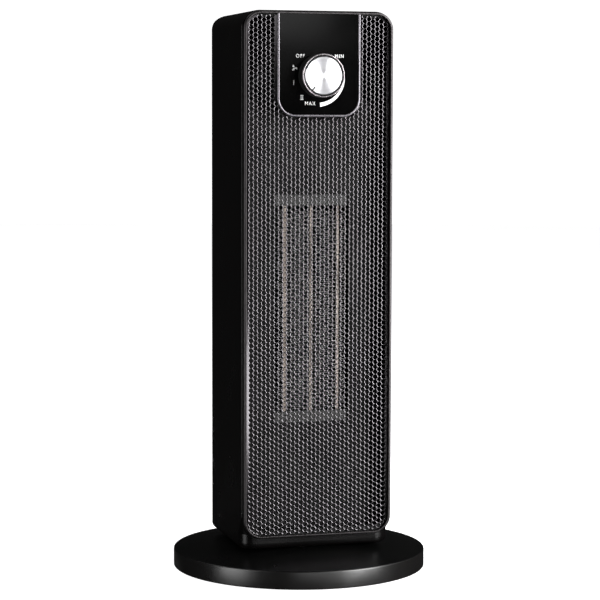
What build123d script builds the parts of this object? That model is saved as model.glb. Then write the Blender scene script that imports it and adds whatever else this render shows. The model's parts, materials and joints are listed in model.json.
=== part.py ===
from build123d import *
import math
import os

# Tower fan heater on a round foot. Millimetres, +Z up, front towards -Y.
# Origin: centre of the foot, on the surface that its rubber feet stand on.

# ---- foot ----
FOOT_R = 125.0
RIM_LOW = 1.0
RIM_TOP = 18.6
RIM_ROUND = 1.5
DOME_TOP = 28.2
DOME_FLAT_R = 54.0
SHELL = 2.5
PLATE_LOW = 1.5
PLATE_TOP = 4.5
PLATE_R = 122.2
RUBBER_R = 9.0
RUBBER_CIRCLE = 108.0
FOOT_SCREW_CIRCLE = 92.0
FOOT_SCREWS = 6
GLAND_Z = 10.8
GLAND_R = 5.8
GLAND_BORE = 3.6
GLAND_LENGTH = 12.6

# ---- tip switch ----
PLUNGER_XY = (-62.0, 36.0)
PLUNGER_R = 3.0
TIP_SWITCH_Z = (14.0, 22.0)

# ---- tower housing ----
HALF_W = 75.0
FRONT_Y = -62.0
BACK_Y = 65.0
SEAM_Y = 50.0
LOW_Z = 29.2
TOP_Z = 547.0
TOP_ROUND = 17.5
CHIN_ROUND = 15.0
SIDE_ROUND = 1.2
BACK_ROUND = 7.0
BOTTOM_ROUND = 6.0
CHIN_BLEND = (44.0, 62.0)
WALL = 2.5
OPENING_HALF_W = 70.5
OPENING_Z = (46.0, 543.0)
OPENING_DEPTH = 8.5

# ---- front ----
BEZEL_HALF_W = 74.0
BEZEL_Y = -68.0
BEZEL_LOW = 40.6
BEZEL_TOP = 546.2
BEZEL_TOP_ROUND = 16.8
BEZEL_ROUND = 18.0
BEZEL_W = 2.4
GRILLE_FRONT = -65.2
GRILLE_BACK = -64.0
GRILLE_GAP = 0.9
GRILLE_PITCH = 15.0
GRILLE_HOLE = 11.0
FRAME_BACK = -62.0
PANEL_HALF_W = 39.1
PANEL_LOW = 448.2
PANEL_TOP = 543.7
PANEL_ROUND = 15.5
PANEL_FRONT = -66.7
RIM_W = 2.0

# ---- knob and selector ----
KNOB_Z = 485.1
KNOB_FACE_Y = -83.0
KNOB_R = 20.8
KNOB_FACE_R = 18.0
KNOB_GROOVE = 1.4
KNOB_BACK_Y = -67.3
POINTER_DEG = 219.0
SELECTOR_SHAFT_R = 3.0
POINTER_INNER_R = 13.4
POINTER_W = 1.0
DISC_THICK = 2.6
SWITCH_Y = (FRAME_BACK, -30.0)
SWITCH_SCREW_X = 15.0

# ---- pivot and oscillation ----
POST_R = 15.0
POST_BORE = 10.0
POST_TOP = 47.0
RUN_GAP = 0.06
COLLAR_R = 19.0
COLLAR_TOP = 38.0
GEAR_MODULE = 1.0
RING_TEETH = 56
PINION_TEETH = 14
GEAR_LOW = 38.3
GEAR_THICK = 6.0
OSC_MOTOR_R = 25.0
OSC_MOTOR_Z = (50.0, 64.0)
OSC_Y = GEAR_MODULE * (RING_TEETH + PINION_TEETH) / 2
OSC_LUG_X = 32.0

# ---- heating element ----
ELEMENT_Z = (160.5, 360.5)
ELEMENT_Y = (-42.0, -24.0)
ELEMENT_HALF_W = 35.0
STRIP_X = (-26.6, 0.0, 26.6)
STRIP_W = 3.0
FIN_PITCH = 5.0
FIN_FOIL = 0.8
DUCT_HALF_W = 37.2
DUCT_Z = (149.5, 371.5)
DUCT_WALL = 1.5
DUCT_BACK = -8.0
TERMINAL_Y = -33.0
BAFFLE_Y = (-45.5, -44.0)
BAFFLE_Z = (38.0, 462.0)

# ---- blower ----
BLOWER_Y = 22.0
WHEEL_R = 27.0
WHEEL_IN_R = 21.5
WHEEL_Z = (152.0, 369.0)
WHEEL_BLADES = 26
WHEEL_DISCS = 5
SHAFT_R = 2.5
TONGUE_GAP = 2.6
STATOR_Z = (112.0, 130.0)
ROTOR_R = 13.6
MOTOR_SCREW_X = 17.2

# ---- rear ----
INTAKE_Z = (150.0, 372.0)
INTAKE_PITCH = 7.4
INTAKE_SLOT = (34.0, 3.4)
RECESS_Z = (500.0, 526.0)
RECESS_HALF_W = 42.0
RECESS_FLOOR_Y = 51.0
COVER_SCREWS = [(x, z) for x in (-54.0, 54.0) for z in (52.0, 262.0, 480.0)]
ROCKER_Z = 100.0
ROCKER_AXIS_Y = 62.0
ROCKER_TILT = 9.0


def box(x0, x1, y0, y1, z0, z1):
    return Pos((x0 + x1) / 2, (y0 + y1) / 2, (z0 + z1) / 2) * Box(x1 - x0, y1 - y0, z1 - z0)


def post(radius, z0, z1, x=0.0, y=0.0):
    return Pos(x, y, (z0 + z1) / 2) * Cylinder(radius, z1 - z0)


def ring(outer, inner, z0, z1, x=0.0, y=0.0):
    return post(outer, z0, z1, x, y) - post(inner, z0 - 1, z1 + 1, x, y)


def rod_y(radius, y0, y1, x=0.0, z=0.0):
    return Pos(x, (y0 + y1) / 2, z) * Rot(90, 0, 0) * Cylinder(radius, y1 - y0)


def plan_outline(half_w, y0, y1, r_front, r_back):
    outline = Pos(0, (y0 + y1) / 2) * Rectangle(2 * half_w, y1 - y0)
    outline = fillet(outline.vertices().group_by(Axis.Y)[0], r_front)
    return fillet(outline.vertices().group_by(Axis.Y)[-1], r_back)


def front_outline(half_w, z0, z1, r_top, r_low):
    outline = Pos(0, (z0 + z1) / 2) * Rectangle(2 * half_w, z1 - z0)
    if r_low > 0:
        outline = fillet(outline.vertices().group_by(Axis.Y)[0], r_low)
    if r_top > 0:
        outline = fillet(outline.vertices().group_by(Axis.Y)[-1], r_top)
    return outline


def plate_y(outline, y0, y1):
    """A front-view outline (X, Z) given thickness from y0 to y1."""
    return extrude(Plane.XZ.offset(-y1) * outline, amount=y1 - y0)


def plate_z(outline, z0, z1):
    return extrude(Plane.XY.offset(z0) * outline, amount=z1 - z0)


def wire(points, radius, bend):
    path = FilletPolyline(*points, radius=bend)
    section = Plane(origin=path @ 0, z_dir=path % 0) * Circle(radius)
    return sweep(section, path=path)


def gear_outline(teeth, backlash=0.2):
    """Involute spur gear outline, a tooth centred on the +X axis."""
    pressure = math.radians(20)
    r_pitch = GEAR_MODULE * teeth / 2
    r_base = r_pitch * math.cos(pressure)
    r_tip = r_pitch + 0.85 * GEAR_MODULE
    r_root = r_pitch - 1.25 * GEAR_MODULE
    inv_pitch = math.tan(pressure) - pressure
    half = math.pi / (2 * teeth) - backlash / (2 * r_pitch)

    def half_angle(r):
        a = math.acos(min(1.0, r_base / r))
        return half + inv_pitch - (math.tan(a) - a)

    r_start = max(r_base, r_root) + 0.01
    flank = [r_start + (r_tip - r_start) * i / 3 for i in range(4)]
    points = []
    for tooth in range(teeth):
        centre = 2 * math.pi * tooth / teeth
        rise = [(r_root, centre - half_angle(r_start))]
        rise += [(r, centre - half_angle(r)) for r in flank]
        fall = [(r, 2 * centre - a) for r, a in reversed(rise)]
        points += [(r * math.cos(a), r * math.sin(a)) for r, a in rise + fall]
    return make_face(Polyline(*points, close=True))


def dome_z(r):
    k = (DOME_TOP - RIM_TOP) / ((FOOT_R - RIM_ROUND) ** 2 - DOME_FLAT_R ** 2)
    return RIM_TOP + k * ((FOOT_R - RIM_ROUND) ** 2 - r ** 2)


def around(count, radius, start=0.0):
    for i in range(count):
        a = math.radians(start + 360 * i / count)
        yield radius * math.cos(a), radius * math.sin(a)


# ------------------------------------------------------------------ foot

def foot_cover():
    r_edge = FOOT_R - RIM_ROUND
    r_in = FOOT_R - SHELL
    r_mid = (DOME_FLAT_R + r_edge) / 2
    rr = RIM_ROUND * (1 - math.sqrt(0.5))
    outline = [
        Line((POST_R, DOME_TOP), (DOME_FLAT_R, DOME_TOP)),
        ThreePointArc((DOME_FLAT_R, DOME_TOP), (r_mid, dome_z(r_mid)), (r_edge, RIM_TOP)),
        ThreePointArc((r_edge, RIM_TOP), (FOOT_R - rr, RIM_TOP - rr), (FOOT_R, RIM_TOP - RIM_ROUND)),
        Line((FOOT_R, RIM_TOP - RIM_ROUND), (FOOT_R, RIM_LOW + 1)),
        Line((FOOT_R, RIM_LOW + 1), (FOOT_R - 1, RIM_LOW)),
        Line((FOOT_R - 1, RIM_LOW), (r_in, RIM_LOW)),
        Line((r_in, RIM_LOW), (r_in, RIM_TOP - SHELL)),
        ThreePointArc((r_in, RIM_TOP - SHELL), (r_mid, dome_z(r_mid) - SHELL),
                      (DOME_FLAT_R, DOME_TOP - SHELL)),
        Line((DOME_FLAT_R, DOME_TOP - SHELL), (POST_R, DOME_TOP - SHELL)),
        Line((POST_R, DOME_TOP - SHELL), (POST_R, DOME_TOP)),
    ]
    cover = revolve(Plane.XZ * make_face(outline), axis=Axis.Z)
    for x, y in around(FOOT_SCREWS, FOOT_SCREW_CIRCLE):
        cover += ring(4.0, 1.6, PLATE_TOP, dome_z(FOOT_SCREW_CIRCLE) - SHELL + 0.6, x, y)
    return cover - rod_y(GLAND_R, FOOT_R - GLAND_LENGTH, FOOT_R + 1, 0, GLAND_Z)


def foot_plate():
    plate = post(PLATE_R, PLATE_LOW, PLATE_TOP)
    plate += ring(5.5, PLUNGER_R, PLATE_TOP, 7.0, *PLUNGER_XY)
    for x, y in around(FOOT_SCREWS, FOOT_SCREW_CIRCLE):
        plate -= post(1.8, PLATE_LOW - 1, PLATE_TOP + 1, x, y) + post(3.4, PLATE_LOW - 1, 3.2, x, y)
    return plate - post(PLUNGER_R + 0.08, PLATE_LOW - 1, 8.0, *PLUNGER_XY)


def foot_screws():
    return [post(1.6, 3.0, 16.0, x, y) + post(3.1, 1.7, 3.0, x, y)
            for x, y in around(FOOT_SCREWS, FOOT_SCREW_CIRCLE)]


def rubber_feet():
    pads = []
    for x, y in around(5, RUBBER_CIRCLE, 90):
        pad = post(RUBBER_R, 0, PLATE_LOW, x, y)
        pads.append(chamfer(pad.edges().group_by(Axis.Z)[0], 0.6))
    return pads


def cord_gland():
    y_out = FOOT_R - 0.4
    return (rod_y(GLAND_R, y_out - GLAND_LENGTH, y_out, 0, GLAND_Z)
            - rod_y(GLAND_BORE, y_out - GLAND_LENGTH - 1, y_out + 1, 0, GLAND_Z))


def pivot_post():
    body = post(26, DOME_TOP - SHELL - 3, DOME_TOP - SHELL) + post(POST_R, DOME_TOP - SHELL - 3, POST_TOP)
    body -= post(POST_BORE, 0, POST_TOP + 1)
    return body - ring(POST_R + 1, POST_R - 1, GEAR_LOW + GEAR_THICK, GEAR_LOW + GEAR_THICK + 1.2)


def tip_plunger():
    x, y = PLUNGER_XY
    top = TIP_SWITCH_Z[0]
    rod = post(PLUNGER_R, 0, top, x, y) + post(PLUNGER_R + 2, top - 2.8, top - 1.4, x, y)
    return chamfer(rod.edges().group_by(Axis.Z)[0], 0.5)


def tip_switch():
    x, y = PLUNGER_XY
    z0, z1 = TIP_SWITCH_Z
    body = box(x - 10, x + 10, y - 5, y + 5, z0, z1)
    legs = [box(x + s * 10 - 2, x + s * 10 + 2, y - 5, y + 5, PLATE_TOP, z0) for s in (-1, 1)]
    return body + legs


def foot_terminal_block():
    block = box(-15, 15, 80, 92, PLATE_TOP, 14.5)
    for x in (-10, 0, 10):
        block -= post(2.2, 10, 15, x, 86)
    return fillet(block.edges().filter_by(Axis.Z).group_by(Axis.X)[0], 1.0)


# ------------------------------------------------------------------ housing

def housing_outer():
    low, high = CHIN_BLEND
    chin = plan_outline(HALF_W, FRONT_Y, BACK_Y, CHIN_ROUND, BACK_ROUND)
    upper = plan_outline(HALF_W, FRONT_Y, BACK_Y, SIDE_ROUND, BACK_ROUND)
    body = plate_z(chin, LOW_Z, low)
    body += loft([Plane.XY.offset(low) * chin, Plane.XY.offset(high) * upper], ruled=True)
    body += plate_z(upper, high, TOP_Z)
    body = fillet(body.edges().group_by(Axis.Z)[0], BOTTOM_ROUND)
    body &= plate_y(front_outline(HALF_W, LOW_Z, TOP_Z, TOP_ROUND, 0), FRONT_Y - 1, BACK_Y + 1)
    side = Rectangle(BACK_Y - FRONT_Y, TOP_Z - LOW_Z)
    side = Pos((FRONT_Y + BACK_Y) / 2, (LOW_Z + TOP_Z) / 2) * side
    back_top = side.vertices().group_by(Axis.Y)[-1].sort_by(Axis.X)[-1]
    return body & extrude(Plane.YZ.offset(-HALF_W - 1) * fillet(back_top, 8), amount=2 * HALF_W + 2)


def housing_cavity():
    plan = plan_outline(HALF_W - WALL, FRONT_Y + WALL, BACK_Y - WALL, CHIN_ROUND - WALL,
                        BACK_ROUND - WALL)
    cavity = plate_z(plan, LOW_Z + WALL, TOP_Z - WALL)
    front = front_outline(HALF_W - WALL, LOW_Z + WALL, TOP_Z - WALL, TOP_ROUND - WALL, 4)
    return cavity & plate_y(front, FRONT_Y - 1, BACK_Y + 1)


SHELL_SOLID = housing_outer() - housing_cavity()


def main_casing():
    half = box(-HALF_W - 1, HALF_W + 1, FRONT_Y - 1, SEAM_Y, 0, TOP_Z + 1)
    casing = SHELL_SOLID & half
    opening = front_outline(OPENING_HALF_W, *OPENING_Z, 12, 12)
    casing -= plate_y(opening, FRONT_Y - 1, FRONT_Y + OPENING_DEPTH)
    return casing - post(45.5, LOW_Z - 1, LOW_Z + WALL + 1)


def rear_cover():
    half = box(-HALF_W - 1, HALF_W + 1, SEAM_Y, BACK_Y + 1, 0, TOP_Z + 1)
    cover = SHELL_SOLID & half
    inset = WALL + 0.2
    lip_in = inset + 1.5
    lip = front_outline(HALF_W - inset, LOW_Z + inset, TOP_Z - inset, 14, 4)
    lip -= front_outline(HALF_W - lip_in, LOW_Z + lip_in, TOP_Z - lip_in, 12, 3)
    cover += plate_y(lip, SEAM_Y - 4, SEAM_Y + 4) & housing_cavity()
    z0, z1 = RECESS_Z
    cover += box(-RECESS_HALF_W - 2, RECESS_HALF_W + 2, RECESS_FLOOR_Y - 2, BACK_Y - 1, z0 - 2, z1 + 2)
    pocket = plate_y(front_outline(RECESS_HALF_W, z0, z1, 9, 9), RECESS_FLOOR_Y, BACK_Y + 1)
    cover -= pocket
    rows = int((INTAKE_Z[1] - INTAKE_Z[0]) / INTAKE_PITCH) + 1
    w, h = INTAKE_SLOT
    slots = [Pos(x, INTAKE_Z[0] + INTAKE_PITCH * row) * SlotOverall(w, h)
             for row in range(rows) for x in (-w - 5, 0, w + 5)]
    cover -= plate_y(Sketch() + slots, BACK_Y - WALL - 1, BACK_Y + 1)
    for x, z in COVER_SCREWS:
        cover -= rod_y(1.8, BACK_Y - WALL - 1, BACK_Y + 1, x, z)
        cover -= rod_y(3.6, BACK_Y - 1.4, BACK_Y + 1, x, z)
    return cover - box(-6.6, 6.6, BACK_Y - WALL - 1, BACK_Y + 1, ROCKER_Z - 9.6, ROCKER_Z + 9.6)


def cover_screws():
    screws = []
    slot_y = (BACK_Y - 0.7, BACK_Y)
    for x, z in COVER_SCREWS:
        screw = rod_y(1.7, BACK_Y - 16, BACK_Y - 1.2, x, z)
        screw += rod_y(3.4, BACK_Y - 1.4, BACK_Y - 0.2, x, z)
        screw -= box(x - 2.2, x + 2.2, *slot_y, z - 0.4, z + 0.4)
        screw -= box(x - 0.4, x + 0.4, *slot_y, z - 2.2, z + 2.2)
        screws.append(screw)
    return screws


def tower_floor():
    plan = plan_outline(HALF_W - WALL - 4.3, FRONT_Y + WALL + 0.3, SEAM_Y - 5, 12, 3)
    floor = plate_z(plan, LOW_Z + WALL, LOW_Z + WALL + 3)
    floor += post(45.0, LOW_Z, LOW_Z + WALL) + post(COLLAR_R, LOW_Z, COLLAR_TOP)
    for x in (-OSC_LUG_X, OSC_LUG_X):
        floor += post(4.0, LOW_Z + WALL, OSC_MOTOR_Z[0], x, OSC_Y)
    return floor - post(POST_R + RUN_GAP, LOW_Z - 1, COLLAR_TOP + 1)


# ------------------------------------------------------------------ oscillation drive

def ring_gear():
    gear = plate_z(gear_outline(RING_TEETH), GEAR_LOW, GEAR_LOW + GEAR_THICK)
    return gear - post(POST_R, GEAR_LOW - 1, GEAR_LOW + GEAR_THICK + 1)


def retaining_ring():
    z0 = GEAR_LOW + GEAR_THICK
    clip = ring(POST_R + 2.2, POST_R - 1, z0, z0 + 1.2)
    return clip - box(-4, 4, -POST_R - 4, -POST_R + 4, z0 - 1, z0 + 3)


def oscillation_pinion():
    face = Pos(0, OSC_Y) * gear_outline(PINION_TEETH)
    gear = plate_z(face, GEAR_LOW + 0.3, GEAR_LOW + GEAR_THICK + 0.3)
    return gear + post(SHAFT_R, GEAR_LOW + GEAR_THICK, OSC_MOTOR_Z[0] - 0.2, 0, OSC_Y)


def oscillation_motor():
    z0, z1 = OSC_MOTOR_Z
    can = chamfer(post(OSC_MOTOR_R, z0, z1, 0, OSC_Y).edges().filter_by(GeomType.CIRCLE), 0.8)
    lugs = box(-OSC_LUG_X, OSC_LUG_X, OSC_Y - 4, OSC_Y + 4, z0, z0 + 1.2)
    for x in (-OSC_LUG_X, OSC_LUG_X):
        lugs += post(4.0, z0, z0 + 1.2, x, OSC_Y)
    motor = can + lugs + box(-7, 7, OSC_Y - 28, OSC_Y - 20, z0 + 2, z1 - 2)
    for x in (-OSC_LUG_X, OSC_LUG_X):
        motor -= post(1.7, z0 - 1, z0 + 3, x, OSC_Y)
    return motor


def oscillation_screws():
    top = OSC_MOTOR_Z[0] + 1.2
    return [post(1.6, top - 1.2, top, x, OSC_Y) + post(3.0, top, top + 2, x, OSC_Y)
            for x in (-OSC_LUG_X, OSC_LUG_X)]


# ------------------------------------------------------------------ front

def bezel_trim():
    outer = front_outline(BEZEL_HALF_W, BEZEL_LOW, BEZEL_TOP, BEZEL_TOP_ROUND, BEZEL_ROUND)
    trim = plate_y(outer, BEZEL_Y, GRILLE_BACK)
    trim = chamfer(trim.faces().sort_by(Axis.Y)[0].edges(), 0.8)
    inner = front_outline(BEZEL_HALF_W - BEZEL_W, BEZEL_LOW + BEZEL_W, BEZEL_TOP - BEZEL_W,
                          BEZEL_TOP_ROUND - BEZEL_W, BEZEL_ROUND - BEZEL_W)
    return trim - plate_y(inner, BEZEL_Y - 1, GRILLE_BACK + 1)


def front_frame():
    outer = front_outline(BEZEL_HALF_W - 0.4, BEZEL_LOW + 0.4, BEZEL_TOP - 0.4, BEZEL_TOP_ROUND - 0.4,
                          BEZEL_ROUND)
    frame = plate_y(outer, GRILLE_BACK, FRAME_BACK)
    lip = front_outline(OPENING_HALF_W - 0.2, OPENING_Z[0] + 0.2, OPENING_Z[1] - 0.2, 12, 12)
    frame += plate_y(lip, FRAME_BACK, FRAME_BACK + WALL + 1)
    hole = front_outline(OPENING_HALF_W - 2, OPENING_Z[0] + 2, OPENING_Z[1] - 2, 10, 10)
    frame -= plate_y(hole, GRILLE_BACK - 1, FRAME_BACK + WALL + 2)
    bridge = front_outline(PANEL_HALF_W + 1, PANEL_LOW - 1, OPENING_Z[1], 0, PANEL_ROUND)
    frame += plate_y(bridge, GRILLE_BACK, FRAME_BACK)
    return frame - rod_y(5.5, GRILLE_BACK - 1, FRAME_BACK + 1, 0, KNOB_Z)


def front_grille():
    inset = BEZEL_W + GRILLE_GAP
    outline = front_outline(BEZEL_HALF_W - inset, BEZEL_LOW + inset, BEZEL_TOP - inset,
                            BEZEL_TOP_ROUND - inset, BEZEL_ROUND - inset)
    window = front_outline(PANEL_HALF_W + RIM_W + 0.2, PANEL_LOW - RIM_W - 0.2, BEZEL_TOP + 5, 0,
                           PANEL_ROUND + RIM_W + 0.2)
    plate = plate_y(outline, GRILLE_FRONT, GRILLE_BACK) - plate_y(window, GRILLE_FRONT - 1, GRILLE_BACK + 1)
    step_x = GRILLE_PITCH * math.sqrt(3) / 2
    border = GRILLE_HOLE / 2 + 3.5
    holes = []
    for col in range(-5, 6):
        x = col * step_x
        shift = GRILLE_PITCH / 2 if col % 2 else 0.0
        for row in range(36):
            z = BEZEL_LOW + 2 + border + shift + row * GRILLE_PITCH
            beside_panel = abs(x) > PANEL_HALF_W + RIM_W + border
            below_panel = z < PANEL_LOW - RIM_W - border
            corner = abs(x) > BEZEL_HALF_W - BEZEL_ROUND and z > BEZEL_TOP - BEZEL_ROUND - 4
            inside = abs(x) < BEZEL_HALF_W - BEZEL_W - border and z < BEZEL_TOP - BEZEL_W - border
            if inside and not corner and (beside_panel or below_panel):
                holes.append(Pos(x, z) * RegularPolygon(GRILLE_HOLE / 2, 6, major_radius=False))
    return plate - plate_y(Sketch() + holes, GRILLE_FRONT - 1, GRILLE_BACK + 1)


def control_panel():
    panel = plate_y(front_outline(PANEL_HALF_W, PANEL_LOW, PANEL_TOP, 0, PANEL_ROUND), PANEL_FRONT,
                    GRILLE_BACK)
    return panel - rod_y(SELECTOR_SHAFT_R + 1, PANEL_FRONT - 1, GRILLE_BACK + 1, 0, KNOB_Z)


def panel_trim():
    outer = front_outline(PANEL_HALF_W + RIM_W, PANEL_LOW - RIM_W, PANEL_TOP, 0, PANEL_ROUND + RIM_W)
    inner = front_outline(PANEL_HALF_W, PANEL_LOW, PANEL_TOP + 5, 0, PANEL_ROUND)
    return plate_y(outer, PANEL_FRONT - 0.5, GRILLE_BACK) - plate_y(inner, PANEL_FRONT - 2, 0)


# ------------------------------------------------------------------ knob and selector

def pointer_slot(r0, r1, y0, y1):
    slot = box(-POINTER_W / 2, POINTER_W / 2, y0, y1, r0, r1)
    return Pos(0, 0, KNOB_Z) * Rot(0, POINTER_DEG, 0) * slot


def knob_body():
    body = rod_y(KNOB_R, KNOB_FACE_Y + 0.7, KNOB_BACK_Y, 0, KNOB_Z)
    body = chamfer(body.faces().sort_by(Axis.Y)[0].edges(), 0.4)
    body -= rod_y(KNOB_FACE_R + KNOB_GROOVE, KNOB_FACE_Y, KNOB_FACE_Y + DISC_THICK, 0, KNOB_Z)
    return body - rod_y(SELECTOR_SHAFT_R, KNOB_FACE_Y + 1, KNOB_BACK_Y + 1, 0, KNOB_Z)


def knob_face():
    face = rod_y(KNOB_FACE_R, KNOB_FACE_Y, KNOB_FACE_Y + DISC_THICK, 0, KNOB_Z)
    face = chamfer(face.faces().sort_by(Axis.Y)[0].edges(), 0.6)
    return face - pointer_slot(POINTER_INNER_R, KNOB_FACE_R + 2, KNOB_FACE_Y - 1, KNOB_FACE_Y + 1.0)


def selector_shaft():
    shaft = rod_y(SELECTOR_SHAFT_R, KNOB_FACE_Y + DISC_THICK, SWITCH_Y[0] + 6, 0, KNOB_Z)
    return shaft - box(1.6, 4, KNOB_FACE_Y, KNOB_BACK_Y - 1, KNOB_Z - 5, KNOB_Z + 5)


def selector_switch():
    y0, y1 = SWITCH_Y
    body = box(-19, 19, y0 + 2, y1, KNOB_Z - 17, KNOB_Z + 17)
    body = fillet(body.edges().filter_by(Axis.Y), 2)
    body += rod_y(5.4, GRILLE_BACK, y0 + 3, 0, KNOB_Z)
    body += [rod_y(3.5, y0, y0 + 3, x, KNOB_Z) for x in (-SWITCH_SCREW_X, SWITCH_SCREW_X)]
    body += [box(x - 2, x + 2, y1, y1 + 7, KNOB_Z - 12 - 0.4, KNOB_Z - 12 + 0.4) for x in (-12, -4, 4, 12)]
    return body - rod_y(SELECTOR_SHAFT_R + RUN_GAP, GRILLE_BACK - 1, y0 + 6.2, 0, KNOB_Z)


# ------------------------------------------------------------------ heating element

def fin_bank(x0, x1):
    """Folded strip that zigzags between x0 and x1 up the height of the element."""
    z0, z1 = ELEMENT_Z
    folds = int((z1 - z0 - 2) / FIN_PITCH)
    left = [(x1 - FIN_FOIL if i % 2 else x0, z0 + 1 + i * FIN_PITCH) for i in range(folds + 1)]
    right = [(x + FIN_FOIL, z) for x, z in reversed(left)]
    return plate_y(make_face(Polyline(*left, *right, close=True)), *ELEMENT_Y)


def fin_banks():
    half = STRIP_W / 2
    edges = [(-ELEMENT_HALF_W, STRIP_X[0] - half)]
    edges += [(a + half, b - half) for a, b in zip(STRIP_X[:-1], STRIP_X[1:])]
    edges += [(STRIP_X[-1] + half, ELEMENT_HALF_W)]
    return [fin_bank(x0, x1) for x0, x1 in edges]


def heating_strips():
    half = STRIP_W / 2
    y0, y1 = ELEMENT_Y
    return [box(x - half, x + half, y0 + 1, y1 - 1, *ELEMENT_Z) for x in STRIP_X]


def element_frame(z0, z1):
    frame = box(-DUCT_HALF_W + 0.2, DUCT_HALF_W - 0.2, ELEMENT_Y[0] - 1, ELEMENT_Y[1] + 1, z0, z1)
    for x in (-13.3, 13.3):
        frame -= box(x - 8, x + 8, ELEMENT_Y[0] + 3, ELEMENT_Y[1] - 3, z0 - 1, z1 + 1)
    for x in STRIP_X:
        frame -= box(x - 3, x + 3, TERMINAL_Y - 0.4, TERMINAL_Y + 0.4, z0 - 1, z1 + 1)
    return frame


def element_terminals():
    z = DUCT_Z[1]
    return [box(x - 3, x + 3, TERMINAL_Y - 0.4, TERMINAL_Y + 0.4, ELEMENT_Z[1], z + 12) for x in STRIP_X]


def element_duct():
    w = DUCT_HALF_W
    z0, z1 = DUCT_Z
    t = DUCT_WALL
    duct = box(-w - t, w + t, ELEMENT_Y[0] - 2, DUCT_BACK, z0 - t, z1 + t)
    duct += box(-HALF_W + WALL + 0.3, HALF_W - WALL - 0.3, ELEMENT_Y[0] - 2, -32, z0 - t, z0 + 1)
    duct += box(-HALF_W + WALL + 0.3, HALF_W - WALL - 0.3, ELEMENT_Y[0] - 2, -32, z1 - 1, z1 + t)
    duct -= box(-w, w, ELEMENT_Y[0] - 3, DUCT_BACK + 1, z0, z1)
    for x in STRIP_X:
        duct -= box(x - 4, x + 4, -35, -31, z1 - 1, z1 + 3)
    return duct


def air_baffle():
    """Black sheet behind the front mesh that closes the space beside, above and below the duct's mouth."""
    half_w = HALF_W - WALL - 0.3
    sheet = box(-half_w, half_w, *BAFFLE_Y, *BAFFLE_Z)
    sheet -= box(-DUCT_HALF_W, DUCT_HALF_W, BAFFLE_Y[0] - 1, BAFFLE_Y[1] + 1, *DUCT_Z)
    return fillet(sheet.edges().filter_by(Axis.Y), 1.0)


def thermal_cutout():
    z = DUCT_Z[1] + DUCT_WALL
    body = post(7.5, z, z + 6, 13.3, -16) + post(5.5, z + 6, z + 9, 13.3, -16)
    body += box(13.3 - 11, 13.3 + 11, -17.5, -14.5, z, z + 1)
    return body + [box(x - 1.5, x + 1.5, -16.4, -15.6, z + 9, z + 15) for x in (13.3 - 3, 13.3 + 3)]


def thermal_fuse():
    z = DUCT_Z[1] + DUCT_WALL + 2
    body = Pos(-13.3, -16, z) * Rot(0, 90, 0) * Cylinder(2.0, 11)
    return body + Pos(-13.3, -16, z) * Rot(0, 90, 0) * Cylinder(0.6, 26)


# ------------------------------------------------------------------ blower

def polar(r, deg):
    a = math.radians(deg)
    return (r * math.cos(a), BLOWER_Y + r * math.sin(a))


def blower_scroll():
    """Volute wall: starts at the duct's right wall and closes in on the wheel behind it."""
    start = (DUCT_HALF_W, DUCT_BACK + 1.3)
    r0 = math.hypot(start[0], start[1] - BLOWER_Y)
    a0 = math.degrees(math.atan2(start[1] - BLOWER_Y, start[0]))
    r1 = WHEEL_R + TONGUE_GAP
    turns = [(r0 + (r1 - r0) * i / 8, a0 + (100 - a0) * i / 8) for i in range(9)]
    inner = Spline([polar(r, a) for r, a in turns])
    outer = Spline([polar(r + DUCT_WALL * 1.2, a) for r, a in turns])
    face = make_face([inner, outer, Line(inner @ 0, outer @ 0), Line(inner @ 1, outer @ 1)])
    return plate_z(face, *DUCT_Z)


def blower_tongue():
    r = WHEEL_R + TONGUE_GAP
    near, far = polar(r, 184), polar(r, 212)
    mid = polar(r, 198)
    root = (-DUCT_HALF_W, DUCT_BACK)
    heel = (-DUCT_HALF_W - DUCT_WALL, DUCT_BACK)
    edge = [ThreePointArc(near, mid, far), Line(far, root), Line(root, heel), Line(heel, near)]
    return plate_z(make_face(edge), *DUCT_Z)


def end_plate(z0, z1, hole_r):
    plate = box(-44, 48, DUCT_BACK, 58, z0, z1)
    plate += box(-HALF_W + WALL + 0.3, HALF_W - WALL - 0.3, 0, 12, z0, z1)
    plate = plate - post(hole_r, z0 - 1, z1 + 1, 0, BLOWER_Y)
    for x in (-MOTOR_SCREW_X, MOTOR_SCREW_X):
        plate -= post(1.6, z0 - 1, z1 + 1, x, BLOWER_Y)
    return plate


def impeller_wheel():
    z0, z1 = WHEEL_Z
    disc = 1.4
    r_tip = WHEEL_R - 0.2
    r_mid = (WHEEL_IN_R + WHEEL_R) / 2
    wheel = Part()
    for i in range(WHEEL_DISCS):
        z = z0 + (z1 - z0 - disc) * i / (WHEEL_DISCS - 1)
        wheel += post(WHEEL_R, z, z + disc, 0, BLOWER_Y)
    wheel += post(6, z0, z0 + 10, 0, BLOWER_Y) + post(6, z1 - 6, z1, 0, BLOWER_Y)
    blades = []
    for i in range(WHEEL_BLADES):
        lead = 360 * i / WHEEL_BLADES
        front = [polar(WHEEL_IN_R, lead), polar(r_mid, lead + 5.5), polar(r_tip, lead + 6)]
        back = [polar(r_tip, lead + 8), polar(r_mid, lead + 7.5), polar(WHEEL_IN_R, lead + 2)]
        tip, root = Line(front[-1], back[0]), Line(back[-1], front[0])
        blades.append(make_face([ThreePointArc(*front), tip, ThreePointArc(*back), root]))
    wheel += plate_z(Sketch() + blades, z0, z1)
    return wheel - post(SHAFT_R, z0 - 1, z1 + 1, 0, BLOWER_Y)


def impeller_shaft():
    return post(SHAFT_R, 98.5, DUCT_Z[1] + 7, 0, BLOWER_Y)


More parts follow.
